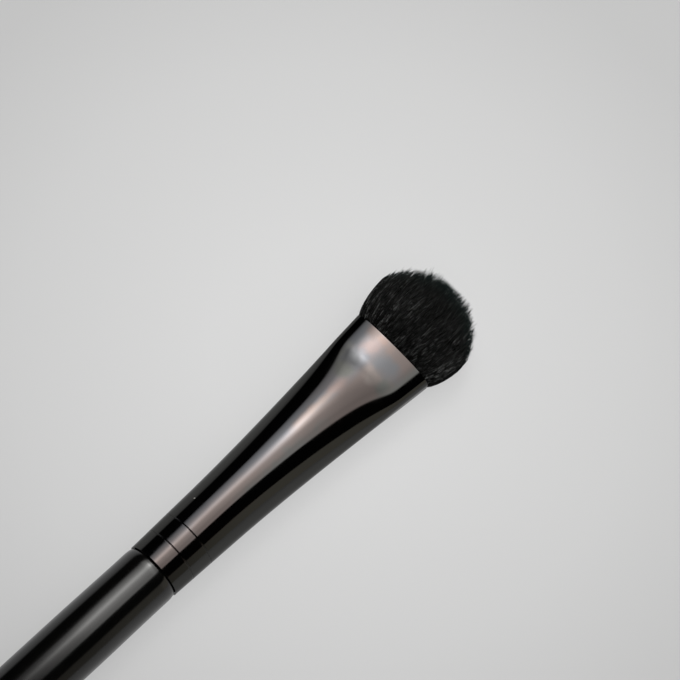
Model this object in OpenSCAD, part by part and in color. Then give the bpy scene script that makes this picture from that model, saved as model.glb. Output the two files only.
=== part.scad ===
// Eyeshadow brush: a turned and lacquered handle, a drawn ferrule that is crimped on at its rear and
// pressed flat at its mouth, and a domed flat tuft of hair, tied at its foot and set in resin.
// It lies along X with the hair towards +X and its broad face up. The origin is on the surface that
// it lies on, below the middle of its length.

/* [Handle] */
// Length of handle that shows, from the tail to the ferrule
handle_len = 112; // [90:1:150]
// Diameter of the belly, the straight land where a stand's ring can hold the brush
belly_d = 8.2; // [7.6:0.1:9.5]
// Length of the belly
belly_len = 16; // [8:1:24]
// Distance from the ferrule back to the belly
neck_len = 14; // [8:1:20]
// Length over which the shoulder rounds down to the ferrule
shoulder_len = 1.3; // [0.8:0.1:2]
// How far the shoulder rounds down
shoulder_drop = 0.3; // [0.1:0.05:0.35]
// Diameter of the slim tail
tail_d = 5; // [4:0.1:7]
// Length of the rounded tail end
tail_round = 3.2; // [2:0.1:5]

/* [Tenon] */
// Room left between the tenon and the resin ahead of it
tenon_room = 3; // [1:0.5:5]
// Chamfer at the tenon's front edge
tenon_chamfer = 0.6; // [0.2:0.1:1]
// Length of the glue film, ahead of the crimps
glue_len = 7.5; // [4:0.5:8]

/* [Ferrule] */
// Length of the ferrule
ferrule_len = 42; // [36:1:52]
// Outside diameter at the rear
rear_d = 8; // [7.4:0.1:8.6]
// How much wider than the rear the mouth would be if it weren't pressed flat
cone_rise = 2.2; // [1.6:0.1:2.8]
// Outside width of the flat mouth
mouth_w = 12.7; // [11.5:0.1:13.5]
// Outside thickness of the flat mouth
mouth_t = 5.2; // [4.8:0.1:6]
// Length of the band at the mouth whose faces are parallel
band_len = 4.6; // [2:0.1:6]
// Length of round cone behind the pressed part
round_len = 10; // [9:0.5:14]
// Wall of the ferrule
wall = 0.35; // [0.25:0.05:0.5]
// Rounding of the ferrule's edges
lip = 0.06; // [0.04:0.02:0.12]

/* [Crimps] */
// Distance from the rear edge to the first crimp, and from it to the second
crimp_pitch = 3; // [2.4:0.1:3.4]
// Width of a crimp
crimp_w = 0.35; // [0.3:0.05:0.8]
// Depth of a crimp
crimp_depth = 0.1; // [0.05:0.05:0.2]

/* [Hair] */
// Length of hair beyond the mouth
hair_out = 11.85; // [9:0.05:16]
// Greatest width of the hair
hair_w = 15.6; // [13:0.1:17]
// Greatest thickness of the hair
hair_t = 7.4; // [6.6:0.1:9]
// How far the longest hairs lean to one side at their tips
hair_lean = 0.45; // [0:0.05:1]
// Depth inside the mouth at which the hairs start to part
parting_depth = 0.15; // [0.1:0.05:0.3]
// Rings of hairs round the middle row
hair_rings = 6; // [5:1:6]
// Hairs along the middle row
middle_row = 7; // [5:1:7]

/* [Root] */
// Length of packed hair inside the ferrule
root_len = 21; // [19:0.5:23]
// Least thickness of resin between the thread and the ferrule
resin_wall = 0.2; // [0.1:0.05:0.4]
// Thickness of the binding thread
thread_d = 0.35; // [0.25:0.05:0.4]
// Turns of the binding thread
thread_turns = 5; // [3:1:6]
// Distance from the foot of the hair to the first turn
thread_back = 1.2; // [0.8:0.1:2]
// Thickness of resin behind the foot of the hair
resin_bed = 2; // [1:0.1:3]
// How far the resin reaches up round the hair
resin_rise = 4.2; // [4:0.1:5]

/* [Fits] */
// Gap between the tenon and the ferrule's bore
tenon_fit = 0.07; // [0.03:0.01:0.12]
// Gap between the handle's shoulder and the ferrule's rear edge
shoulder_fit = 0.05; // [0:0.01:0.1]
// Gap between the packed hair and what is round it
hair_fit = 0.1; // [0.05:0.01:0.2]
// Gap between cured glue, resin or thread and what is beside it
set_fit = 0.03; // [0.02:0.01:0.05]

/* [Detail] */
// Sides of the ferrule's oval section
sides = 56; // [40:4:64]
// Rings of sections along the ferrule's pressed part
press_rings = 12; // [10:1:16]
// Steps in each curve of the handle's outline
curve_steps = 24; // [12:1:32]
// Facets of the turned pieces
round_sides = 96; // [48:8:128]
// Steps from a crimp's edge to its bottom
trough_steps = 2; // [2:1:3]

/* [Hidden] */

// Places along the axis, counted from the ferrule's rear edge
tail_x = -handle_len;
belly_front_x = -neck_len;
belly_rear_x = belly_front_x - belly_len;
mouth_x = ferrule_len;
foot_x = ferrule_len - root_len;
resin_rear_x = foot_x - resin_bed;
resin_front_x = foot_x + resin_rise;
tenon_len = resin_rear_x - tenon_room;
slice_x = mouth_x - parting_depth;
thread_x = foot_x + thread_back;
thread_len = thread_turns * thread_d;
crimps = [crimp_pitch, 2 * crimp_pitch];
middle_x = (tail_x + mouth_x + hair_out) / 2;

// Radii of the turned pieces
belly_r = belly_d / 2;
shoulder_r = rear_d / 2;
tail_r = tail_d / 2;
bore_r = rear_d / 2 - wall;
tenon_r = bore_r - tenon_fit;

// Section of the ferrule: a circle, pressed into an oval whose faces keep a slight crown and whose
// sides tighten near the band. Its width and thickness follow powers of the way along the pressed
// part, and the thickness reaches its last value at the band.
widen_power = 1.95;
thin_power = 1.75;
corner_power = 7;
round_exponent = 2;
crown_exponent = 2.3;
corner_exponent = 3.8;
crease_share = 0.03;

function mix(a, b, share) = a + (b - a) * share;
function clamp(v) = min(max(v, 0), 1);
function ease(v) = let (c = clamp(v)) c * c * (3 - 2 * c);
function cone_r(x) = (rear_d + cone_rise * x / ferrule_len) / 2;
function widen_share(x) = pow(clamp((x - round_len) / (ferrule_len - round_len)), widen_power);
function thin_share(x) =
    let (v = pow(max(x - round_len, 0) / (ferrule_len - band_len - round_len), thin_power))
    v < 1 - crease_share ? v
        : v > 1 + crease_share ? 1
        : 1 - pow(1 + crease_share - v, 2) / (4 * crease_share);
function half_w(x) = mix(cone_r(x), mouth_w / 2, widen_share(x));
function half_t(x) = mix(cone_r(x), mouth_t / 2, thin_share(x));
function width_exponent(x) = mix(round_exponent, crown_exponent, thin_share(x));
function thickness_exponent(x) =
    mix(round_exponent, corner_exponent, pow(thin_share(x), corner_power));
function power_of(v, p) = sign(v) * pow(abs(v), p);

// Places of the sections between the crimps and the mouth, and the height of the axis over the
// surface that the thickest of ferrule, belly and hair lies on
last_crimp_x = crimps[1] + crimp_w;
body_xs = concat(
    [last_crimp_x, mix(last_crimp_x, round_len, 0.5)],
    [for (i = [0:press_rings]) mix(round_len, ferrule_len - band_len, i / press_rings)],
    [ferrule_len - lip]
);
axis_z = max(belly_d / 2, hair_t / 2, max([for (x = body_xs) half_t(x)]));

// Radius of the packed hair where it is tied: what the ferrule, the resin and the thread leave
tie_r = half_t(resin_front_x) - wall - set_fit - resin_wall - set_fit - thread_d - hair_fit;

// One ring of points round the ferrule's section at x, drawn in by inset
function section(x, inset) = let (p = 2 / width_exponent(x), q = 2 / thickness_exponent(x)) [
    for (i = [0:sides - 1]) let (t = 360 * i / sides)
        [x, (half_w(x) - inset) * power_of(cos(t), p), (half_t(x) - inset) * power_of(sin(t), q)]
];

// Faces between two rings of n points that start at index a and b, seen from the ring b side
function band(a, b, n) = [
    for (i = [0:n - 1]) let (j = (i + 1) % n) each [[a + i, a + j, b + j], [a + i, b + j, b + i]]
];
function cap(centre, a, n) = [for (i = [0:n - 1]) [centre, a + i, a + (i + 1) % n]];
function flipped(faces) = [for (f = faces) [f[2], f[1], f[0]]];
function joined(lists) = [for (l = lists) each l];
function centre_of(ring) = [for (k = [0:2]) [for (p = ring) p[k]] * [for (p = ring) 1] / len(ring)];

// A closed skin through rings of points whose last ring meets the first, as on a tube
module ring_shell(rings) {
    n = len(rings[0]);
    count = len(rings);
    faces = [for (k = [0:count - 1]) each band(k * n, (k + 1) % count * n, n)];
    polyhedron(joined(rings), flipped(faces), convexity = 8);
}

// A closed skin through rings of points with a flat cap at each end
module ring_solid(rings) {
    n = len(rings[0]);
    count = len(rings);
    last = (count - 1) * n;
    points = concat(joined(rings), [centre_of(rings[0]), centre_of(rings[count - 1])]);
    faces = concat(
        [for (k = [0:count - 2]) each band(k * n, (k + 1) * n, n)],
        flipped(cap(count * n, 0, n)),
        cap(count * n + 1, last, n)
    );
    polyhedron(points, flipped(faces), convexity = 8);
}

// A solid turned about the X axis from an outline of [x, radius] points
module turned(outline) {
    rotate([0, 90, 0])
        rotate_extrude($fn = round_sides)
            polygon([for (p = outline) [p[1], p[0]]]);
}

// Outline points of a smooth step from radius r1 at x1 to radius r2 at x2
function sweep_line(x1, r1, x2, r2) = [
    for (i = [0:curve_steps]) let (share = i / curve_steps)
        [mix(x1, x2, share), mix(r1, r2, (1 - cos(180 * share)) / 2)]
];

// Outline points of a crimp's rounded trough at x, with steps on each side of its middle
function trough(x, base, depth, steps) = [
    for (i = [-steps:steps])
        [x + i / steps * crimp_w / 2, base + depth * (1 + cos(180 * i / steps)) / 2]
];

// Handle: a slim tail that swells to a straight belly, a neck, a shoulder that rounds down to the
// ferrule, and a tenon with the two rings that the crimps press into it
module handle() {
    front_x = -shoulder_fit;
    tail_curve = [
        for (i = [0:curve_steps]) let (a = 90 * i / curve_steps)
            [tail_x + tail_round * (1 - cos(a)), tail_r * sin(a)]
    ];
    shoulder_curve = [
        for (i = [0:curve_steps]) let (a = 90 * i / curve_steps)
            [
                front_x - shoulder_len * (1 - sin(a)),
                shoulder_r - shoulder_drop * (1 - cos(a))
            ]
    ];
    tenon = [
        [front_x, tenon_r],
        each [for (c = crimps) each trough(c, tenon_r, -crimp_depth, trough_steps)],
        [tenon_len - tenon_chamfer, tenon_r],
        [tenon_len, tenon_r - tenon_chamfer],
        [tenon_len, 0]
    ];
    color([0.03, 0.03, 0.03])
        turned(concat(
            tail_curve,
            sweep_line(tail_x + tail_round, tail_r, belly_rear_x, belly_r),
            sweep_line(belly_front_x, belly_r, front_x - shoulder_len, shoulder_r),
            shoulder_curve,
            tenon
        ));
}

// Ferrule: one drawn tube, crimped at the rear and pressed flat towards the mouth, with the same
// wall all the way and rounded edges
module ferrule() {
    outside = concat(
        [[0, lip], [lip, 0]],
        [for (c = crimps) each trough(c, 0, crimp_depth, trough_steps)],
        [for (x = body_xs) [x, 0]],
        [[ferrule_len, lip]]
    );
    inside = concat(
        [[0, wall - lip], [lip, wall]],
        [for (c = crimps) each trough(c, wall, crimp_depth, trough_steps)],
        [for (x = body_xs) [x, wall]],
        [[ferrule_len, wall - lip]]
    );
    inside_back = [for (i = [len(inside) - 1:-1:0]) inside[i]];
    color([0.2, 0.2, 0.21])
        ring_shell([for (p = concat(outside, inside_back)) section(p[0], p[1])]);
}

// Packed hair inside the ferrule, whose section fits the ferrule's. Its points are taken at even
// steps along a lane of straight sides and round ends, counted from the middle of one round end,
// and each is moved from the axis until it meets the section, found in a few steps.
slice_half_w = half_w(slice_x) - wall - hair_fit;
slice_half_t = half_t(slice_x) - wall - hair_fit;
function lane(x, a, b, share) =
    let (
        e = max(a - b, 0),
        quarter = PI * b / 2,
        s = share * (4 * quarter + 4 * e),
        deg = 180 / (PI * b)
    )
    s < quarter ? [x, e + b * cos(s * deg), b * sin(s * deg)]
        : s < quarter + 2 * e ? [x, e - (s - quarter), b]
        : s < 3 * quarter + 2 * e
            ? let (t = (s - 2 * e) * deg) [x, -e + b * cos(t), b * sin(t)]
        : s < 3 * quarter + 4 * e ? [x, -e + (s - 3 * quarter - 2 * e), -b]
        : let (t = (s - 4 * e) * deg) [x, e + b * cos(t), b * sin(t)];
meeting_steps = 6;
function meeting(u, v, m, n, reach, steps) =
    let (across = pow(reach * u, m), up = pow(reach * v, n))
    steps == 0 ? reach
        : meeting(u, v, m, n, reach * (1 - (across + up - 1) / (m * across + n * up)), steps - 1);
function packed_point(x, a, b, share) =
    let (
        p = lane(x, a, b, share),
        m = width_exponent(x),
        n = thickness_exponent(x),
        reach = meeting(abs(p[1]) / a, abs(p[2]) / b, m, n, 1, meeting_steps)
    )
    [x, p[1] * reach, p[2] * reach];

// The lattice of hairs: rings of triangles round a middle row, whose outermost ring is the outline
// of the packed hair. Each ring has six stretches, of which the second and the fifth are long.
function cells(s, k) = s == 1 || s == 4 ? middle_row + k : k;
function first_cell(s, k) = s * k + (s > 1 ? middle_row : 0) + (s > 4 ? middle_row : 0);
function ring_count(k) = 6 * k + 2 * middle_row;
function ring_start(k) =
    k == 0 ? 0 : middle_row + 1 + 3 * k * (k - 1) + 2 * middle_row * (k - 1);
function corner(k, s, i) =
    k > 0 ? ring_start(k) + (first_cell(s, k) + i) % ring_count(k)
        : s == 1 ? i
        : s == 4 ? middle_row - i
        : s == 2 || s == 3 ? middle_row
        : 0;
outline_count = ring_count(hair_rings);
middle_half = slice_half_w * middle_row / (2 * hair_rings + middle_row);
function middle_point(s, share) =
    s == 1 ? [slice_x, middle_half * (1 - 2 * share), 0]
        : s == 4 ? [slice_x, -middle_half * (1 - 2 * share), 0]
        : s == 2 || s == 3 ? [slice_x, -middle_half, 0]
        : [slice_x, middle_half, 0];
function lattice_point(k, s, i) =
    let (
        share = i / cells(s, k),
        along = (first_cell(s, hair_rings) + share * cells(s, hair_rings)) / outline_count
    )
    mix(
        middle_point(s, share),
        packed_point(slice_x, slice_half_w, slice_half_t, along),
        k / hair_rings
    );
lattice = concat(
    [for (i = [0:middle_row]) middle_point(1, i / middle_row)],
    [
        for (k = [1:hair_rings]) for (s = [0:5]) for (i = [0:cells(s, k) - 1])
            lattice_point(k, s, i)
    ]
);
hair_feet = [
    for (k = [1:hair_rings]) for (s = [0:5])
        each concat(
            [for (i = [0:cells(s, k) - 1]) [corner(k, s, i), corner(k, s, i + 1), corner(k - 1, s, i)]],
            [
                for (i = [0:1:cells(s, k - 1) - 1])
                    [corner(k - 1, s, i), corner(k, s, i + 1), corner(k - 1, s, i + 1)]
            ]
        )
];

// A hair tapers through three rings to its tip: how high each is, and how wide beside its foot
height_shares = [0.09, 0.45, 0.78];
width_shares = [0.84, 0.74, 0.5];
hair_corners = 3;
hair_points_each = hair_corners * len(height_shares) + 1;

// Where a point of the lattice goes at a height above the mouth: the hairs spread over the rim, and
// from the widest place they only lean. The outer hairs' last rings give the greatest width.
widest_share = 0.49;
spread_power = 0.65;
edge_hair_share = 1 - (1 - width_shares[2]) / (hair_corners * hair_rings);
widest = hair_out * widest_share;
function spread(h) = pow(max(1 - pow(1 - clamp(h / widest), 2), 0), spread_power);
function hair_point(foot, h) = [
    mouth_x + h,
    foot[1] * mix(1, hair_w / (2 * slice_half_w * edge_hair_share), spread(h))
        + hair_lean * max(h, 0) / hair_out,
    foot[2] * mix(1, hair_t / (2 * slice_half_t * edge_hair_share), spread(h))
];

// The dome that the tips reach, and how uneven they are
dome_power = 0.8;
uneven_share = 0.03;
uneven_seed = 7;
function tip_height(foot) =
    let (
        u = foot[1] / (slice_half_w * edge_hair_share),
        v = foot[2] / (slice_half_t * edge_hair_share)
    )
    mix(widest, hair_out, pow(clamp(1 - u * u - v * v), dome_power));
tip_shares = rands(1 - uneven_share, 1, len(hair_feet), uneven_seed);

function hair_ring(feet, h, width_share) =
    let (middle = centre_of(feet))
    [for (f = feet) hair_point(mix(middle, f, width_share), h)];
function hair_points(n) =
    let (
        feet = [for (c = hair_feet[n]) lattice[c]],
        middle = centre_of(feet),
        full = tip_height(middle)
    )
    concat(
        [for (r = [0:2]) each hair_ring(feet, full * height_shares[r], width_shares[r])],
        [hair_point(middle, full * tip_shares[n])]
    );
function hair_faces(feet, first) = concat(
    [
        for (i = [0:2]) let (j = (i + 1) % hair_corners)
            each [[feet[i], feet[j], first + j], [feet[i], first + j, first + i]]
    ],
    [for (r = [0:1]) each band(first + r * hair_corners, first + (r + 1) * hair_corners, hair_corners)],
    let (last = first + 2 * hair_corners)
        [for (i = [0:2]) [last + i, last + (i + 1) % hair_corners, last + hair_corners]]
);

// Hair: one bundle, round and tied at its foot, that fills the flat mouth and parts into hairs
module hair_tuft() {
    tied_x = thread_x + thread_len + thread_d;
    full_x = ferrule_len - band_len;
    swell = thread_d / 2;
    stem_xs = concat(
        [foot_x, thread_x - thread_d, thread_x],
        [for (share = [0, 0.3, 0.6, 1]) mix(tied_x, full_x, share)]
    );
    rings = [
        for (x = stem_xs) let (
            open = ease((x - tied_x) / (full_x - tied_x)),
            tied_r = tie_r + (x < thread_x ? swell : 0),
            a = mix(tied_r, half_w(x) - wall - hair_fit, open),
            b = mix(tied_r, half_t(x) - wall - hair_fit, open)
        )
            [for (i = [0:outline_count - 1]) packed_point(x, a, b, i / outline_count)]
    ];
    hair_count = len(hair_feet);
    stem_start = len(lattice);
    last_ring = stem_start + (len(rings) - 1) * outline_count;
    foot_centre = stem_start + len(rings) * outline_count;
    hairs_start = foot_centre + 1;
    points = concat(
        lattice,
        joined(rings),
        [[foot_x, 0, 0]],
        [for (n = [0:hair_count - 1]) each hair_points(n)]
    );
    faces = concat(
        flipped(cap(foot_centre, stem_start, outline_count)),
        [
            for (k = [0:len(rings) - 2])
                each band(
                    stem_start + k * outline_count,
                    stem_start + (k + 1) * outline_count,
                    outline_count
                )
        ],
        band(last_ring, ring_start(hair_rings), outline_count),
        [for (n = [0:hair_count - 1]) each hair_faces(hair_feet[n], hairs_start + hair_points_each * n)]
    );
    color([0.06, 0.06, 0.06])
        polyhedron(points, flipped(faces), convexity = 20);
}

// Binding thread: turns laid side by side round the foot of the hair
module binding_thread() {
    thread_r = thread_d / 2;
    inner_r = tie_r + hair_fit;
    turn_steps = 8;
    crowns = [
        for (n = [0:thread_turns - 1]) for (i = [0:turn_steps]) let (a = 180 * i / turn_steps)
            [
                thread_x + thread_r + n * thread_d - thread_r * cos(a),
                inner_r + thread_r + thread_r * sin(a)
            ]
    ];
    color([0.75, 0.72, 0.65])
        turned(concat([[thread_x, inner_r]], crowns, [[thread_x + thread_len, inner_r]]));
}

// Resin: cast in the ferrule round the foot of the hair, which it grips behind and ahead of the thread
module root_resin() {
    over_thread_r = tie_r + hair_fit + thread_d + set_fit;
    grip_r = tie_r + thread_d / 2 + hair_fit + set_fit;
    outer_xs = [for (share = [0, 0.33, 0.66, 1]) mix(resin_rear_x, resin_front_x, share)];
    function round_ring(x, r) = [
        for (i = [0:sides - 1]) let (t = 360 * i / sides) [x, r * cos(t), r * sin(t)]
    ];
    pocket = [
        [resin_front_x, over_thread_r],
        [thread_x + thread_len + set_fit, over_thread_r],
        [thread_x - set_fit, over_thread_r],
        [thread_x - thread_d, grip_r],
        [foot_x - set_fit, grip_r]
    ];
    color([0.8, 0.66, 0.4])
        ring_solid(concat(
            [for (x = outer_xs) section(x, wall + set_fit)],
            [for (p = pocket) round_ring(p[0], p[1])]
        ));
}

// Tenon glue: the film between the tenon and the widening bore, ahead of the crimps
module tenon_glue() {
    front_x = tenon_len - tenon_chamfer;
    rear_x = max(front_x - glue_len, crimps[1] + crimp_w);
    film_r = tenon_r + set_fit;
    color([0.85, 0.78, 0.6])
        turned([
            [rear_x, film_r],
            [rear_x, cone_r(rear_x) - wall - set_fit],
            [front_x, min(cone_r(front_x), half_t(front_x)) - wall - set_fit],
            [front_x, film_r]
        ]);
}

// The whole brush is placed on its belly and hair, with its middle over the origin
module placed() {
    translate([-middle_x, 0, axis_z]) children();
}

placed() handle();
placed() ferrule();
placed() hair_tuft();
placed() binding_thread();
placed() root_resin();
placed() tenon_glue();
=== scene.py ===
"""Eyeshadow brush lying on a pale floor: a black lacquered handle, a dark plated ferrule that is
crimped at its rear and pressed flat at its mouth, and a short domed tuft of black hair.
Lengths are metres, in the part's own frame. The brush lies along X with its hair towards +X."""
import math
import random

import bmesh
import bpy
from mathutils import Matrix, Vector
from mathutils.kdtree import KDTree


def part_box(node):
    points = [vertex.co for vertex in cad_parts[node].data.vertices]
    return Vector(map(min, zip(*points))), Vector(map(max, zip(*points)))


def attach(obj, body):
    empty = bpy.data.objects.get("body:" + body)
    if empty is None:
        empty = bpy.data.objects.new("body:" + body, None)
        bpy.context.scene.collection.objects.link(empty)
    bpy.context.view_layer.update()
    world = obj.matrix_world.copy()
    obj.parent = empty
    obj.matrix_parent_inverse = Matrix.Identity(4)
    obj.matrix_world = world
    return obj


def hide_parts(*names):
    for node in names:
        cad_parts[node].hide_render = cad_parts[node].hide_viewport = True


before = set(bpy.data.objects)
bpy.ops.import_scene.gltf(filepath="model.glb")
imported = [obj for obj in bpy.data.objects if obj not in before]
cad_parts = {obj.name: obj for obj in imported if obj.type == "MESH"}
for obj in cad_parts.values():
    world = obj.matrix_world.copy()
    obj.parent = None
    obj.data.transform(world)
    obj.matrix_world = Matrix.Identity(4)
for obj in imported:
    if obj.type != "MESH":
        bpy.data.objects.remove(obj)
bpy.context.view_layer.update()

MM = 0.001

# Places along the axis, taken from the solids
handle_low, handle_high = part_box("handle")
ferrule_low, ferrule_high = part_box("ferrule")
hair_low, hair_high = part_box("hair_tuft")
tail_x = handle_low[0]
tenon_x = handle_high[0]
rear_x = ferrule_low[0]
mouth_x = ferrule_high[0]
foot_x = hair_low[0]
tip_x = hair_high[0]
axis_z = (ferrule_low[2] + ferrule_high[2]) / 2
greatest_half_t = (ferrule_high[2] - ferrule_low[2]) / 2
belly_r = (handle_high[1] - handle_low[1]) / 2
mouth_half_w = (ferrule_high[1] - ferrule_low[1]) / 2
ferrule_len = mouth_x - rear_x

# Handle
belly_len = 16 * MM
neck_len = 14 * MM
shoulder_gap = 0.05 * MM
shoulder_len = 1.3 * MM
shoulder_drop = 0.3 * MM
tail_r = 2.5 * MM
tail_round = 3.2 * MM
tenon_r = 3.58 * MM
tenon_chamfer = 0.6 * MM

# Ferrule
ferrule_rear_r = 4 * MM
cone_mouth_r = 5.1 * MM
mouth_half_t = 2.6 * MM
band_len = 4.6 * MM
round_len = 10 * MM
wall = 0.35 * MM
lip = 0.03 * MM
crimp_pitch = 3 * MM
crimp_w = 0.2 * MM
crimp_depth = 0.06 * MM
crimp_border = 0.04 * MM

# Hair. A lock's or a hair's lean is a share of its height, and each of their leans, curls and
# spreads is the standard deviation of random draws.
hair_half_w = 7.6 * MM
hair_half_t = 3.6 * MM
hair_lean = 0.5 * MM
side_longer = 0.25 * MM
side_power = 5
widest_share = 0.52
hair_count = 12000
hair_r = 0.045 * MM
lock_count = 1400
lock_lean_y = 0.06
lock_lean_z = 0.04
lock_draw_share = 0.15
lock_draw_power = 1.5
lock_shade_share = 0.4
lock_shade_power = 6
own_shade_power = 8
own_lean_y = 0.19
own_lean_z = 0.04
edge_lean_share = 0.2
curl_y = 0.28 * MM
curl_z = 0.15 * MM
short_share = 0.6
shortest_share = 0.45
length_spread = 0.035
outline_spread = 0.03
thinnest_share = 0.8
thickest_share = 1.15
# Painted light and shade on the hairs: darker in the tuft's middle, lighter towards its flanks,
# most to +Y
painted_middle_shade = 0.35
painted_plus_flank_light = 1.45
painted_minus_flank_light = 0.75
tie_r = 2.75 * MM


def mix(a, b, share):
    return a + (b - a) * share


def clamp(value):
    return min(max(value, 0), 1)


def ease(value):
    v = clamp(value)
    return v * v * (3 - 2 * v)


# Finishing a piece


def finished(name, bm, material, slot, *nodes):
    """Turns a bmesh into a smooth piece that rides on the brush and stands for CAD nodes."""
    mesh = bpy.data.meshes.new(name)
    bm.to_mesh(mesh)
    bm.free()
    mesh.shade_smooth()
    mesh.materials.append(material)
    piece = bpy.data.objects.new(name, mesh)
    bpy.context.scene.collection.objects.link(piece)
    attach(piece, "root")
    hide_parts(*nodes)
    return piece


def turned(outline, steps):
    """A bmesh turned about the brush's axis from [x, radius] points, closed at both ends."""
    bm = bmesh.new()
    points = [bm.verts.new((x, 0, axis_z + r)) for x, r in outline]
    for a, b in zip(points, points[1:]):
        bm.edges.new((a, b))
    bmesh.ops.spin(
        bm,
        geom=bm.verts[:] + bm.edges[:],
        cent=(0, 0, axis_z),
        axis=(1, 0, 0),
        angle=math.tau,
        steps=steps,
        use_merge=True,
    )
    bmesh.ops.remove_doubles(bm, verts=bm.verts[:], dist=0.001 * MM)
    bmesh.ops.recalc_face_normals(bm, faces=bm.faces[:])
    return bm


# The ferrule's section: a circle at the rear, pressed towards the mouth into an oval whose faces
# keep a slight crown

widen_power = 1.95
thin_power = 1.75
corner_power = 7
round_exponent = 2
crown_exponent = 2.3
corner_exponent = 3.8
crease_share = 0.07


def cone_r(x):
    return mix(ferrule_rear_r, cone_mouth_r, x / ferrule_len)


def widen_share(x):
    return clamp((x - round_len) / (ferrule_len - round_len)) ** widen_power


def thin_share(x):
    v = (max(x - round_len, 0) / (ferrule_len - band_len - round_len)) ** thin_power
    if v < 1 - crease_share:
        return v
    if v > 1 + crease_share:
        return 1
    return 1 - (1 + crease_share - v) ** 2 / (4 * crease_share)


def half_w(x):
    return mix(cone_r(x), mouth_half_w, widen_share(x))


def half_t(x):
    return min(mix(cone_r(x), mouth_half_t, thin_share(x)), greatest_half_t)


def width_exponent(x):
    return mix(round_exponent, crown_exponent, thin_share(x))


def thickness_exponent(x):
    return mix(round_exponent, corner_exponent, thin_share(x) ** corner_power)


def power_of(value, power):
    return math.copysign(abs(value) ** power, value)


def oval_point(half_y, half_z, y_exponent, z_exponent, turn):
    y = half_y * power_of(math.cos(turn), 2 / y_exponent)
    z = half_z * power_of(math.sin(turn), 2 / z_exponent)
    return y, z


def section_point(x, inset, turn):
    """The point of the section at x from the ferrule's rear edge, drawn in by inset, at a turn."""
    y, z = oval_point(
        half_w(x) - inset, half_t(x) - inset, width_exponent(x), thickness_exponent(x), turn
    )
    return Vector((rear_x + x, y, axis_z + z))


def place_ring(verts, turn_layer, x, inset):
    for v in verts:
        v.co = section_point(x, inset, v[turn_layer])


def new_ring(bm, edges):
    """Draws a ring of edges out into the next one, and gives its vertices and edges."""
    grown = bmesh.ops.extrude_edge_only(bm, edges=edges)["geom"]
    verts = [g for g in grown if isinstance(g, bmesh.types.BMVert)]
    ring = set(verts)
    next_edges = [
        g for g in grown if isinstance(g, bmesh.types.BMEdge) and set(g.verts) <= ring
    ]
    return verts, next_edges


def first_ring(bm, steps):
    """A circle whose vertices know their turn about the axis, and how near the top they are."""
    turn_layer = bm.verts.layers.float.new("turn")
    rise_layer = bm.verts.layers.float.new("rise")
    verts = bmesh.ops.create_circle(bm, segments=steps, radius=1)["verts"]
    for v in verts:
        v[turn_layer] = math.atan2(v.co.y, v.co.x)
        v[rise_layer] = v.co.y
    return verts, bm.edges[:], turn_layer


# Materials


def node_material(name):
    material = bpy.data.materials.new(name)
    material.use_nodes = True
    tree = material.node_tree
    return material, tree, tree.nodes["Principled BSDF"]


def add(tree, kind, **settings):
    node = tree.nodes.new(kind)
    for key, value in settings.items():
        setattr(node, key, value)
    return node


def set_inputs(node, **values):
    for key, value in values.items():
        node.inputs[key.replace("_", " ")].default_value = value


# Finger marks and the hair's patches of painted glints lie lengthwise, and a speck of dust is the
# # middle of one of some small cells
marks_lengthwise_scale = 0.5
marks_low = 0.35
marks_high = 0.65
speck_cells_scale = 420
speck_r_share = 0.11


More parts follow.
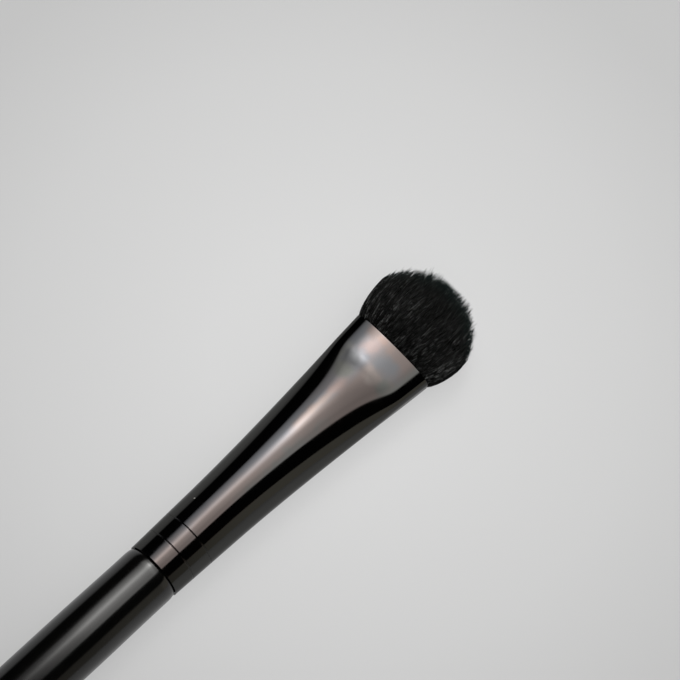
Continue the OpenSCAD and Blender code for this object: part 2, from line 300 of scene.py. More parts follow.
def marks_group():
    """Finger marks: soft patches stretched along the brush, and fine specks of dust on it. On the
    hair the fine patches break up its painted glints, and on the plating the patches spread its
    painted reflection colour.
    """
    group = bpy.data.node_groups.new("Handling marks and painted glints", "ShaderNodeTree")
    sockets = group.interface
    sockets.new_socket("Patch size", in_out="INPUT", socket_type="NodeSocketFloat")
    sockets.new_socket("Speck share", in_out="INPUT", socket_type="NodeSocketFloat")
    sockets.new_socket("Patches", in_out="OUTPUT", socket_type="NodeSocketFloat")
    sockets.new_socket("Fine patches", in_out="OUTPUT", socket_type="NodeSocketFloat")
    sockets.new_socket("Specks", in_out="OUTPUT", socket_type="NodeSocketFloat")
    inside = add(group, "NodeGroupInput")
    outside = add(group, "NodeGroupOutput")
    place = add(group, "ShaderNodeTexCoord")
    stretch = add(group, "ShaderNodeMapping")
    stretch.inputs["Scale"].default_value = (marks_lengthwise_scale, 1, 1)
    size = add(group, "ShaderNodeMath", operation="DIVIDE")
    size.inputs[0].default_value = 1
    link = group.links.new
    link(place.outputs["Object"], stretch.inputs["Vector"])
    link(inside.outputs["Patch size"], size.inputs[1])
    for output, factor, detail in (("Patches", 1, 2), ("Fine patches", 3, 4)):
        scale = add(group, "ShaderNodeMath", operation="MULTIPLY")
        scale.inputs[1].default_value = factor
        noise = add(group, "ShaderNodeTexNoise")
        set_inputs(noise, Detail=detail, Distortion=0.6)
        contrast = add(group, "ShaderNodeMapRange")
        set_inputs(contrast, From_Min=marks_low, From_Max=marks_high)
        link(size.outputs[0], scale.inputs[0])
        link(scale.outputs[0], noise.inputs["Scale"])
        link(stretch.outputs["Vector"], noise.inputs["Vector"])
        link(noise.outputs["Fac"], contrast.inputs["Value"])
        link(contrast.outputs["Result"], outside.inputs[output])
    cells = add(group, "ShaderNodeTexVoronoi")
    set_inputs(cells, Scale=speck_cells_scale, Randomness=1)
    dot = add(group, "ShaderNodeMath", operation="LESS_THAN")
    dot.inputs[1].default_value = speck_r_share
    split = add(group, "ShaderNodeSeparateColor")
    chosen = add(group, "ShaderNodeMath", operation="LESS_THAN")
    both = add(group, "ShaderNodeMath", operation="MULTIPLY")
    link(place.outputs["Object"], cells.inputs["Vector"])
    link(cells.outputs["Distance"], dot.inputs[0])
    link(cells.outputs["Color"], split.inputs["Color"])
    link(split.outputs["Red"], chosen.inputs[0])
    link(inside.outputs["Speck share"], chosen.inputs[1])
    link(dot.outputs[0], both.inputs[0])
    link(chosen.outputs[0], both.inputs[1])
    link(both.outputs[0], outside.inputs["Specks"])
    return group


marks_and_glints_tree = marks_group()
dust_color = (0.35, 0.34, 0.32, 1)


def marks_node(tree, patch_size, speck_share):
    marks = add(tree, "ShaderNodeGroup", node_tree=marks_and_glints_tree)
    set_inputs(marks, Patch_size=patch_size, Speck_share=speck_share)
    return marks


def mixed_color(tree, factor, color_a, color_b):
    """A mix of two colours by a factor socket. Either colour may be a socket or a value."""
    node = add(tree, "ShaderNodeMix", data_type="RGBA")
    tree.links.new(factor, node.inputs["Factor"])
    for socket, color in ((node.inputs[6], color_a), (node.inputs[7], color_b)):
        if isinstance(color, bpy.types.NodeSocket):
            tree.links.new(color, socket)
        else:
            socket.default_value = color
    return node.outputs[2]


def ranged(tree, value, low, high):
    node = add(tree, "ShaderNodeMapRange")
    set_inputs(node, To_Min=low, To_Max=high)
    tree.links.new(value, node.inputs["Value"])
    return node.outputs["Result"]


def product(tree, a, b, factor=1):
    """Two values multiplied with each other and with a factor."""
    node = add(tree, "ShaderNodeMath", operation="MULTIPLY")
    scale = add(tree, "ShaderNodeMath", operation="MULTIPLY")
    scale.inputs[1].default_value = factor
    tree.links.new(a, node.inputs[0])
    tree.links.new(b, node.inputs[1])
    tree.links.new(node.outputs[0], scale.inputs[0])
    return scale.outputs[0]


def lacquer_material():
    material, tree, shader = node_material("black lacquer")
    marks = marks_node(tree, patch_size=9 * MM, speck_share=0.004)
    color = mixed_color(
        tree, marks.outputs["Fine patches"], (0.0006, 0.0006, 0.0006, 1), (0.0012, 0.0011, 0.001, 1)
    )
    color = mixed_color(tree, marks.outputs["Specks"], color, dust_color)
    tree.links.new(color, shader.inputs["Base Color"])
    roughness = ranged(tree, marks.outputs["Patches"], low=0.14, high=0.17)
    tree.links.new(roughness, shader.inputs["Roughness"])
    set_inputs(shader, IOR=1.54)
    return material


patch_blur_scale = 600
patch_blur_share = 0.8
patch_core_share = 0.2


def dust_and_light_patch_group():
    """A soft round patch, used for a speck of dust and for the plating's painted highlights and
    painted
    shade: its share is 1 in its middle and falls to 0 at its reach.
    """
    group = bpy.data.node_groups.new("Soft patch of dust and light", "ShaderNodeTree")
    sockets = group.interface
    sockets.new_socket("Middle", in_out="INPUT", socket_type="NodeSocketVector")
    sockets.new_socket("Reach", in_out="INPUT", socket_type="NodeSocketVector")
    sockets.new_socket("Share", in_out="OUTPUT", socket_type="NodeSocketFloat")
    inside = add(group, "NodeGroupInput")
    outside = add(group, "NodeGroupOutput")
    place = add(group, "ShaderNodeTexCoord")
    blur = add(group, "ShaderNodeTexNoise")
    set_inputs(blur, Scale=patch_blur_scale, Detail=1)
    uneven = add(group, "ShaderNodeMath", operation="MULTIPLY_ADD")
    uneven.inputs[1].default_value = patch_blur_share
    uneven.inputs[2].default_value = -patch_blur_share / 2
    off = add(group, "ShaderNodeVectorMath", operation="SUBTRACT")
    scaled = add(group, "ShaderNodeVectorMath", operation="DIVIDE")
    distance = add(group, "ShaderNodeVectorMath", operation="LENGTH")
    total = add(group, "ShaderNodeMath", operation="ADD")
    fall = add(group, "ShaderNodeMapRange", interpolation_type="SMOOTHSTEP")
    set_inputs(fall, From_Min=1, From_Max=patch_core_share)
    link = group.links.new
    link(place.outputs["Object"], blur.inputs["Vector"])
    link(blur.outputs["Fac"], uneven.inputs[0])
    link(place.outputs["Object"], off.inputs[0])
    link(inside.outputs["Middle"], off.inputs[1])
    link(off.outputs["Vector"], scaled.inputs[0])
    link(inside.outputs["Reach"], scaled.inputs[1])
    link(scaled.outputs["Vector"], distance.inputs[0])
    link(distance.outputs["Value"], total.inputs[0])
    link(uneven.outputs[0], total.inputs[1])
    link(total.outputs[0], fall.inputs["Value"])
    link(fall.outputs["Result"], outside.inputs["Share"])
    return group


# Patches painted on the plating's upper face. They tint it, and they are painted highlights where
# # they are paler and painted shade where they are darker. For each: how far the middle is from the
# # ferrule's rear edge and from the axis, and how far the patch reaches along and across, in
# # millimetres, then its colour. A speck of dust on it has the same four numbers.
plating_tints_and_painted_light = [
    (20, -1.7, 11, 1.6, (0.0545, 0.0545, 0.0535, 1)),
    (29, 0.9, 6, 0.9, (0.067, 0.0555, 0.052, 1)),
    (33, 1, 2.6, 1.3, (0.07, 0.0555, 0.0525, 1)),
    (35.1, 2.2, 1.9, 1.9, (0.051, 0.0515, 0.0485, 1)),
    (37.1, 2.5, 1.7, 2.5, (0.028, 0.0285, 0.03, 1)),
    (37.1, -2.9, 1.9, 1.6, (0.0515, 0.0525, 0.05, 1)),
    (37, -0.9, 1.6, 1.9, (0.088, 0.077, 0.073, 1)),
    (39.3, -1.2, 1.8, 3.6, (0.0545, 0.055, 0.0585, 1)),
    (41.4, 1.5, 1.2, 2.6, (0.0745, 0.0568, 0.0515, 1)),
    (39.9, 1.9, 2, 2, (0.074, 0.0605, 0.059, 1)),
    (39.8, 4.4, 3.4, 1.6, (0.042, 0.0435, 0.048, 1)),
    (41.8, 3, 2.1, 1.5, (0.049, 0.0405, 0.0385, 1)),
]
dust_speck = (9.5, 2.78, 0.15, 0.15)


def plating_material():
    """Dark plated metal. Its cast is painted reflection colour, turning from rose to blue towards
    its
    +Y side in patches and to ash on its flanks, and patches of painted highlight and painted shade
    lie on its upper face.
    """
    material, tree, shader = node_material("dark plating")
    marks = marks_node(tree, patch_size=5 * MM, speck_share=0.006)
    patch_share = 0.35
    # Painted reflection colour: rose, blue and ash stand for the tints that the top and the flanks
    # mirror
    rose = (0.0645, 0.054, 0.0513, 1)
    blue = (0.0538, 0.0548, 0.0597, 1)
    ash = (0.0545, 0.0545, 0.0525, 1)
    place = add(tree, "ShaderNodeTexCoord")
    split = add(tree, "ShaderNodeSeparateXYZ")
    side = add(tree, "ShaderNodeMapRange")
    set_inputs(side, From_Min=-0.1 * MM, From_Max=1.2 * MM, To_Min=-0.25, To_Max=0.75)
    rise = add(tree, "ShaderNodeAttribute", attribute_name="rise")
    flank = add(tree, "ShaderNodeMapRange")
    set_inputs(flank, From_Min=0.88, From_Max=0.78)
    cast = add(tree, "ShaderNodeMath", operation="MULTIPLY_ADD", use_clamp=True)
    cast.inputs[1].default_value = patch_share
    tree.links.new(place.outputs["Object"], split.inputs["Vector"])
    tree.links.new(split.outputs["Y"], side.inputs["Value"])
    tree.links.new(rise.outputs["Fac"], flank.inputs["Value"])
    tree.links.new(marks.outputs["Patches"], cast.inputs[0])
    tree.links.new(side.outputs["Result"], cast.inputs[2])
    color = mixed_color(tree, cast.outputs[0], rose, blue)
    # Painted reflection colour on the flanks: ash where the skin faces sideways
    color = mixed_color(tree, flank.outputs["Result"], color, ash)
    group = dust_and_light_patch_group()

    def dust_and_light_share(x, y, reach_x, reach_y):
        round_patch = add(tree, "ShaderNodeGroup", node_tree=group)
        set_inputs(
            round_patch,
            Middle=(rear_x + x * MM, y * MM, axis_z + half_t(x * MM)),
            Reach=(reach_x * MM, reach_y * MM, 2 * belly_r),
        )
        return round_patch.outputs["Share"]

    # Painted highlights and painted shade, each with a tint, laid over the cast one after another
    for *place_and_reach, tint_and_light_color in plating_tints_and_painted_light:
        color = mixed_color(tree, dust_and_light_share(*place_and_reach), color, tint_and_light_color)
    dust = add(tree, "ShaderNodeMath", operation="MAXIMUM")
    tree.links.new(marks.outputs["Specks"], dust.inputs[0])
    tree.links.new(dust_and_light_share(*dust_speck), dust.inputs[1])
    color = mixed_color(tree, dust.outputs[0], color, dust_color)
    tree.links.new(color, shader.inputs["Base Color"])
    roughness = ranged(tree, marks.outputs["Fine patches"], low=0.07, high=0.11)
    tree.links.new(ranged(tree, dust.outputs[0], low=1, high=0), shader.inputs["Metallic"])
    tree.links.new(roughness, shader.inputs["Roughness"])
    set_inputs(shader, Specular_Tint=(0.65, 0.65, 0.65, 1))
    return material


def hair_material():
    """Black hair: single hairs differ a little, paler strokes along some of them are painted
    glints, and the tuft's rim is greener.
    """
    material, tree, shader = node_material("black hair")
    shade = add(tree, "ShaderNodeAttribute", attribute_name="shade")
    along = add(tree, "ShaderNodeAttribute", attribute_name="along")
    rim = add(tree, "ShaderNodeAttribute", attribute_name="rim")
    marks = marks_node(tree, patch_size=1.2 * MM, speck_share=0)
    # Painted glints: paler strokes along the hairs, broken up by the fine patches
    glints = ranged(tree, marks.outputs["Fine patches"], low=-0.7, high=2.3)
    broken = product(tree, shade.outputs["Fac"], glints)
    broken = product(tree, broken, ranged(tree, along.outputs["Fac"], low=1.25, high=2.2))
    color = mixed_color(tree, broken, (0.0006, 0.0006, 0.0006, 1), (0.125, 0.128, 0.126, 1))
    tip_share = ranged(tree, along.outputs["Fac"], low=0, high=0.65)
    color = mixed_color(tree, tip_share, color, (0.0082, 0.0088, 0.0086, 1))
    green_share = ranged(tree, rim.outputs["Fac"], low=0, high=0.9)
    color = mixed_color(tree, green_share, color, (0.003, 0.0112, 0.0098, 1))
    roughness = ranged(tree, shade.outputs["Fac"], low=0.6, high=0.42)
    tree.links.new(color, shader.inputs["Base Color"])
    tree.links.new(roughness, shader.inputs["Roughness"])
    set_inputs(shader, IOR=1.45, Specular_IOR_Level=0.1)
    return material


def packed_material():
    """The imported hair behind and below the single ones, with streaks along it."""
    material, tree, shader = node_material("packed hair")
    lengthwise_scale = 300
    crosswise_scale = 9000
    place = add(tree, "ShaderNodeTexCoord")
    stretch = add(tree, "ShaderNodeMapping")
    stretch.inputs["Scale"].default_value = (lengthwise_scale, crosswise_scale, crosswise_scale)
    noise = add(tree, "ShaderNodeTexNoise")
    set_inputs(noise, Scale=1, Detail=2)
    tree.links.new(place.outputs["Object"], stretch.inputs["Vector"])
    tree.links.new(stretch.outputs["Vector"], noise.inputs["Vector"])
    color = mixed_color(
        tree, noise.outputs["Fac"], (0.0003, 0.0003, 0.0003, 1), (0.002, 0.002, 0.002, 1)
    )
    tree.links.new(color, shader.inputs["Base Color"])
    set_inputs(shader, Roughness=0.8, Specular_IOR_Level=0)
    return material


def inner_material(name, dark, light, roughness):
    """A cast or wound material inside the ferrule, with a soft mottle."""
    material, tree, shader = node_material(name)
    marks = marks_node(tree, patch_size=1.5 * MM, speck_share=0)
    color = mixed_color(tree, marks.outputs["Patches"], dark, light)
    tree.links.new(color, shader.inputs["Base Color"])
    set_inputs(shader, Roughness=roughness)
    return material


# Handle


def handle_outline():
    front_x = rear_x - shoulder_gap
    belly_front_x = rear_x - neck_len
    belly_rear_x = belly_front_x - belly_len
    round_steps = 16
    sweep_steps = 32
    quarter = [math.pi / 2 * i / round_steps for i in range(round_steps + 1)]
    points = [
        (tail_x + tail_round * (1 - math.cos(a)), tail_r * math.sin(a)) for a in quarter
    ]
    for x1, r1, x2, r2 in (
        (tail_x + tail_round, tail_r, belly_rear_x, belly_r),
        (belly_front_x, belly_r, front_x - shoulder_len, ferrule_rear_r),
    ):
        for i in range(sweep_steps + 1):
            share = i / sweep_steps
            points.append((mix(x1, x2, share), mix(r1, r2, (1 - math.cos(math.pi * share)) / 2)))
    points += [
        (
            front_x - shoulder_len * (1 - math.sin(a)),
            ferrule_rear_r - shoulder_drop * (1 - math.cos(a)),
        )
        for a in quarter
    ]
    points += [
        (front_x, tenon_r),
        (tenon_x - tenon_chamfer, tenon_r),
        (tenon_x, tenon_r - tenon_chamfer),
        (tenon_x, 0),
    ]
    return points


def build_handle():
    bm = turned(handle_outline(), steps=144)
    return finished("handle_lacquered", bm, lacquer_material(), "lacquered_wood", "handle")


# Ferrule


def ferrule_path():
    """Where each ring of the ferrule's skin goes, as its x and how far in from the outside."""
    crimp_steps = 5
    lip_steps = 4
    body_steps = 90
    inside_step = 6
    crimps = [(lip + crimp_border, 0)]
    for middle in (crimp_pitch, 2 * crimp_pitch):
        crimps.append((middle - crimp_w / 2 - crimp_border, 0))
        for i in range(-crimp_steps, crimp_steps + 1):
            share = i / crimp_steps
            depth = crimp_depth * (1 + math.cos(math.pi * share)) / 2
            crimps.append((middle + share * crimp_w / 2, depth))
        crimps.append((middle + crimp_w / 2 + crimp_border, 0))
    body_start = 2 * crimp_pitch + 2 * crimp_w
    body = [
        mix(body_start, ferrule_len - 2 * lip, i / body_steps) for i in range(body_steps + 1)
    ]
    corner = [math.pi / 2 * i / lip_steps for i in range(lip_steps + 1)]
    rear_lip = [(lip * (1 - math.sin(a)), lip * (1 - math.cos(a))) for a in corner]
    front_lip = [
        (ferrule_len - lip * (1 - math.sin(a)), lip * (1 - math.cos(a))) for a in corner
    ]
    outside = [*reversed(rear_lip), *crimps, *((x, 0) for x in body), *front_lip]
    inside = [
        (ferrule_len - lip, wall),
        *((x, wall) for x in reversed(body[::inside_step])),
        *((x, wall + depth) for x, depth in reversed(crimps)),
        (lip, wall),
    ]
    return outside + inside


def build_ferrule():
    bm = bmesh.new()
    verts, edges, turn_layer = first_ring(bm, steps=224)
    path = ferrule_path()
    start_edges = edges
    place_ring(verts, turn_layer, *path[0])
    for x, inset in path[1:]:
        verts, edges = new_ring(bm, edges)
        place_ring(verts, turn_layer, x, inset)
    bmesh.ops.bridge_loops(bm, edges=start_edges + edges)
    bmesh.ops.recalc_face_normals(bm, faces=bm.faces[:])
    return finished("ferrule_plated", bm, plating_material(), "plated_brass", "ferrule")


# Hair: the feet fill the mouth, and each hair is placed by where its foot is in the mouth

mouth_inner_w = half_w(ferrule_len) - wall
mouth_inner_t = half_t(ferrule_len) - wall
hair_out = tip_x - mouth_x
widest_h = hair_out * widest_share
spread_power = 0.66
dome_power = 0.68
corner_drop = 1.2
lowest_share = 0.6


def spread(h):
    """How far the hairs have spread at height h over the mouth, from 0 to 1."""
    return max(1 - (1 - clamp(h / widest_h)) ** 2, 0) ** spread_power


def spread_width(h):
    return mix(1, hair_half_w / mouth_inner_w, spread(h))


def spread_thickness(h):
    return mix(1, hair_half_t / mouth_inner_t, spread(h))


def tip_height(u, v):
    """Height of the dome over the foot at shares u and v of the mouth's half width and thickness.
    In the mouth's corners, past the dome's rim, the hairs are shorter."""
    rise = 1 - u * u - v * v
    if rise < 0:
        return widest_h * max(1 + corner_drop * rise, lowest_share)
    return mix(widest_h, hair_out, rise ** dome_power)


def lean(h):
    """How far to +Y the whole tuft leans at height h."""
    return hair_lean * (max(h, 0) / hair_out) ** 2


def mouth_share(u, v):
    """How far out a foot is: 0 in the middle of the mouth, and 1 at its edge."""
    return abs(u) ** crown_exponent + abs(v) ** corner_exponent


def hair_feet(source):
    """Feet in even rows over the mouth, each moved a little, as shares of its half sizes."""
    fill_share = 0.93
    jitter = 0.35
    area = 4 * mouth_inner_w * mouth_inner_t * fill_share
    step = math.sqrt(area / hair_count / math.sin(math.pi / 3))
    row_step = step * math.sin(math.pi / 3)
    rows = int(mouth_inner_t / row_step)
    columns = int(mouth_inner_w / step)
    feet = []
    for row in range(-rows, rows + 1):
        for column in range(-columns, columns + 1):
            y = (column + row % 2 / 2 + source.uniform(-jitter, jitter)) * step
            z = (row + source.uniform(-jitter, jitter)) * row_step
            u = y / mouth_inner_w
            v = z / mouth_inner_t
            if mouth_share(u, v) < 1:
                feet.append((u, v))
    return feet


class Lock:
    """A lock of hairs, which lean alike and draw together towards their tips."""

    def __init__(self, foot, source):
        self.u, self.v = foot
        self.lean_y = source.gauss(0, lock_lean_y)
        self.lean_z = source.gauss(0, lock_lean_z)
        self.shade = source.random()


class Hair:
    """What sets one hair apart: its foot, its lock, its length, its lean and its shade, which also
    holds painted light and shade across the tuft.
    """

    def __init__(self, foot, lock, source):
        self.u, self.v = foot
        edge = mouth_share(*foot)
        loose = mix(1, edge_lean_share, edge)
        self.lean_y = (lock.lean_y + source.gauss(0, own_lean_y)) * loose
        self.lean_z = (lock.lean_z + source.gauss(0, own_lean_z)) * loose
        rise = tip_height(*foot)
        tip_u = self.u + self.lean_y * rise / hair_half_w
        tip_v = self.v + self.lean_z * rise / hair_half_t
        self.length = tip_height(tip_u, tip_v) + side_longer * self.u ** side_power
        if source.random() < short_share:
            self.length *= source.uniform(shortest_share, 1)
        else:
            self.length = min(self.length * (1 + source.gauss(0, length_spread)), hair_out)
        self.curl_y = source.gauss(0, curl_y)
        self.curl_z = source.gauss(0, curl_z)
        self.draw_u = lock.u - self.u
        self.draw_v = lock.v - self.v
        own_shade = source.random() ** own_shade_power
        self.shade = mix(own_shade, lock.shade ** lock_shade_power, lock_shade_share)
        # Painted light and shade: darker in the tuft's middle, lighter towards its flanks
        painted_flank_light = painted_plus_flank_light if self.u > 0 else painted_minus_flank_light
        self.shade *= mix(painted_middle_shade, painted_flank_light, abs(self.u))
        self.dome = tip_height(self.u, 0)
        self.reach = 1 - abs(source.gauss(0, outline_spread))
        self.radius = hair_r * source.uniform(thinnest_share, thickest_share)
        self.twist = source.uniform(0, math.tau)

    def middle(self, h):
        """Where the hair's middle is at height h, kept within the tuft's outline."""
        rise = max(h, 0)
        share = clamp(h / self.length)
        bend = math.sin(math.pi * share)
        draw = lock_draw_share * share ** lock_draw_power
        u = self.u + self.draw_u * draw
        v = self.v + self.draw_v * draw
        half_y = mouth_inner_w * spread_width(h)
        half_z = mouth_inner_t * spread_thickness(h)
        y = u * half_y + self.lean_y * rise + self.curl_y * bend
        z = v * half_z + self.lean_z * rise + self.curl_z * bend
        excess = mouth_share(y / half_y, z / half_z) / self.reach
        draw_in = excess ** (-1 / crown_exponent) if excess > 1 else 1
        y = min(max(y * draw_in + lean(h), hair_low[1] + hair_r), hair_high[1] - hair_r)
        reach_z = (hair_high[2] - hair_low[2]) / 2 - hair_r
        return y, min(max(z * draw_in, -reach_z), reach_z)


# Heights of a hair's rings as shares of its length, and how thick it is there
ring_heights = (0.07, 0.2, 0.42, 0.66, 0.86, 1)
ring_widths = (1, 1, 1, 1, 0.85, 0.3)
# How late along a hair its colour turns to that of its tip
along_power = 3
sunk = 0.6 * MM
# The share of the dome's height over which the hairs turn to the tint of the tuft's rim
rim_share = 0.22


def build_hairs(name, hairs, material):
    bm = bmesh.new()
    hair_layer = bm.verts.layers.int.new("hair")
    corner_layer = bm.verts.layers.float.new("corner")
    shade_layer = bm.verts.layers.float.new("shade")
    along_layer = bm.verts.layers.float.new("along")
    rim_layer = bm.verts.layers.float.new("rim")

    def place(verts, height_share, width_share):
        for v in verts:
            hair = hairs[v[hair_layer]]
            h = hair.length * height_share if height_share > 0 else -sunk
            y, z = hair.middle(h)
            r = hair.radius * width_share
            v.co = (
                mouth_x + h,
                y + r * math.cos(v[corner_layer]),
                axis_z + z + r * math.sin(v[corner_layer]),
            )
            v[along_layer] = max(height_share, 0) ** along_power
            v[rim_layer] = clamp(1 - (1 - h / hair.dome) / rim_share)

    for index, hair in enumerate(hairs):
        corners = []
        for k in range(3):
            vert = bm.verts.new((0, 0, 0))
            vert[hair_layer] = index
            vert[corner_layer] = hair.twist + math.tau * k / 3
            vert[shade_layer] = hair.shade
            corners.append(vert)
        bm.faces.new(corners)
    place(bm.verts, 0, 1)
    grown = bmesh.ops.extrude_face_region(bm, geom=bm.faces[:])["geom"]
    tops = [g for g in grown if isinstance(g, bmesh.types.BMFace)]
    for index, (height_share, width_share) in enumerate(zip(ring_heights, ring_widths)):
        if index > 0:
            tops = bmesh.ops.extrude_discrete_faces(bm, faces=tops)["faces"]
        place({v for f in tops for v in f.verts}, height_share, width_share)
    bmesh.ops.recalc_face_normals(bm, faces=bm.faces[:])
    return finished(name, bm, material, "hair", "hair_tuft")


def build_packed_hair(material):
    """The bundle inside the ferrule, tied at its foot, and the dark heart of the tuft."""
    bm = bmesh.new()
    verts, edges, turn_layer = first_ring(bm, steps=96)
    stem_start = foot_x - rear_x
    stem_end = ferrule_len - band_len
    slack = 0.1 * MM
    tied_share = 0.15
    heart_share = 0.84
    heart_widest_h = widest_h * 0.9
    heart_low_shares = (0, 0.1, 0.3, 0.6)
    stem_steps = 10
    heart_steps = 16
    path = []
    for i in range(stem_steps + 1):
        x = mix(stem_start, stem_end, i / stem_steps)
        open_share = ease((i / stem_steps - tied_share) / (1 - tied_share))
        a = mix(tie_r, half_w(x) - wall - slack, open_share)
        b = mix(tie_r, half_t(x) - wall - slack, open_share)
        path.append((x, a, b, width_exponent(x), thickness_exponent(x)))
    for share in heart_low_shares:
        h = heart_widest_h * share
        path.append((
            ferrule_len + h,
            (mouth_inner_w - slack) * spread_width(h) * heart_share,
            (mouth_inner_t - slack) * spread_thickness(h) * heart_share,
            crown_exponent,
            corner_exponent,
        ))
    for i in range(heart_steps + 1):
        rise = math.sin(math.pi / 2 * i / heart_steps)
        h = mix(heart_widest_h, hair_out * heart_share, rise)
        shrink = math.sqrt(max(1 - rise ** (1 / dome_power), 0))
        path.append((
            ferrule_len + h,
            hair_half_w * heart_share * shrink,
            hair_half_t * heart_share * shrink,
            mix(crown_exponent, round_exponent, rise),
            mix(corner_exponent, round_exponent, rise),
        ))

    def place(ring, x, *oval):
        for v in ring:
            y, z = oval_point(*oval, v[turn_layer])
            v.co = (rear_x + x, lean(x - ferrule_len) + y, axis_z + z)

    place(verts, *path[0])
    bm.faces.new(verts)
    for step in path[1:]:
        verts, edges = new_ring(bm, edges)
        place(verts, *step)
    bmesh.ops.remove_doubles(bm, verts=bm.verts[:], dist=0.0005 * MM)
    bmesh.ops.recalc_face_normals(bm, faces=bm.faces[:])
    return finished("packed_hair", bm, material, "hair", "hair_tuft")


def build_tuft():
    seed = 11
    source = random.Random(seed)
    feet = hair_feet(source)
    source.shuffle(feet)
    locks = [Lock(foot, source) for foot in feet[:lock_count]]
    nearest = KDTree(lock_count)
    for index, lock in enumerate(locks):
        nearest.insert((lock.u * mouth_inner_w, lock.v * mouth_inner_t, 0), index)
    nearest.balance()
    hairs = []
    for u, v in feet:
        index = nearest.find((u * mouth_inner_w, v * mouth_inner_t, 0))[1]
        hairs.append(Hair((u, v), locks[index], source))
    material = hair_material()
    share_count = 4
    for k in range(share_count):
        build_hairs(f"hairs_{k + 1}", hairs[k::share_count], material)
    build_packed_hair(packed_material())


# Studio: a pale floor, one large soft lamp over the brush, and a dim card beside it. Lamp and card
# reach from one X to another, and from one angle off the vertical to another, in degrees.

lamp_r = 0.261
lamp_low_x = 0.055
lamp_high_x = 0.3
lamp_from = -47.5
lamp_to = 27
lamp_skew = 11
card_low_x = -0.4
card_high_x = 0.8
card_from = 61
card_to = 97
floor_r = 4.0
fill_place = (0.06, -0.35, 0.7)
fill_size = 1.2
fill_watts = 5


def stage_piece(name, bm, material):
    mesh = bpy.data.meshes.new(name)
    bm.to_mesh(mesh)
    bm.free()
    mesh.materials.append(material)
    piece = bpy.data.objects.new(name, mesh)
    bpy.context.scene.collection.objects.link(piece)
    return piece


def emission_material(name):
    material = bpy.data.materials.new(name)
    material.use_nodes = True
    tree = material.node_tree
    tree.nodes.remove(tree.nodes["Principled BSDF"])
    glow = add(tree, "ShaderNodeEmission")
    tree.links.new(glow.outputs["Emission"], tree.nodes["Material Output"].inputs["Surface"])
    return material, tree, glow


def arc_panel(name, material, low_x, high_x, from_degrees, to_degrees):
    """A panel bent round the brush's axis, between two angles off the vertical towards -Y."""
    bm = bmesh.new()
    ends = [bm.verts.new((x, 0, axis_z + lamp_r)) for x in (low_x, high_x)]
    edge = bm.edges.new(ends)
    axis_point = (0, 0, axis_z)
    turn = Matrix.Rotation(math.radians(from_degrees), 3, "X")
    bmesh.ops.rotate(bm, verts=ends, cent=axis_point, matrix=turn)
    bmesh.ops.spin(
        bm,
        geom=[*ends, edge],
        cent=axis_point,
        axis=(1, 0, 0),
        angle=math.radians(to_degrees - from_degrees),
        steps=32,
    )
    panel = stage_piece(name, bm, material)
    panel.visible_camera = False
    panel.visible_shadow = False
    return panel


def ramp(tree, value, stops, smooth="LINEAR"):
    """A grey ramp over a value, from stops of the value and its brightness."""
    low = stops[0][0]
    high = stops[-1][0]
    share = add(tree, "ShaderNodeMapRange")
    set_inputs(share, From_Min=low, From_Max=high)
    node = add(tree, "ShaderNodeValToRGB")
    node.color_ramp.interpolation = smooth
    elements = node.color_ramp.elements
    for index, (place, level) in enumerate(stops):
        spot = (place - low) / (high - low)
        if index < 2:
            elements[index].position = spot
        else:
            elements.new(spot)
        elements[index].color = (level, level, level, 1)
    tree.links.new(value, share.inputs["Value"])
    tree.links.new(share.outputs["Result"], node.inputs["Fac"])
    return node.outputs["Color"]


# How bright the lamp is across it, by the angle off the vertical in degrees, and along it, by X in
# metres: a soft crown, and a hot spot over the hair
crown_across = [(-47.5, 0), (-44, 0.18), (-38, 0.3), (-32, 0.4), (-28, 0.5), (-24, 0.68),
                (-20, 0.94), (-17, 1.04), (-13, 0.88), (-8, 0.59), (-4, 0.5), (4, 0.42), (10, 0.33),
                (20, 0.32), (23.5, 0)]
crown_along = [(0.055, 0), (0.07, 0.8), (0.1, 0.92), (0.13, 1), (0.15, 0.97), (0.175, 0.8),
               (0.19, 0.7), (0.21, 0.56), (0.24, 0.76), (0.29, 0.74), (0.3, 0)]
crown_level = 7.5
spot_across = [(-31, 0), (-27, 0.35), (-22, 0.85), (-19, 1), (-16, 0.85), (-12, 0.35), (-7, 0)]
spot_along = [(0.126, 0), (0.138, 0.2), (0.149, 0.4), (0.16, 1), (0.172, 0.76), (0.187, 0.32),
              (0.21, 0)]
spot_level = 8.4
# How much of the lamp's skew is left along it
skew_along = [(0.0723, 1), (0.0827, 0.25), (0.086, 0)]


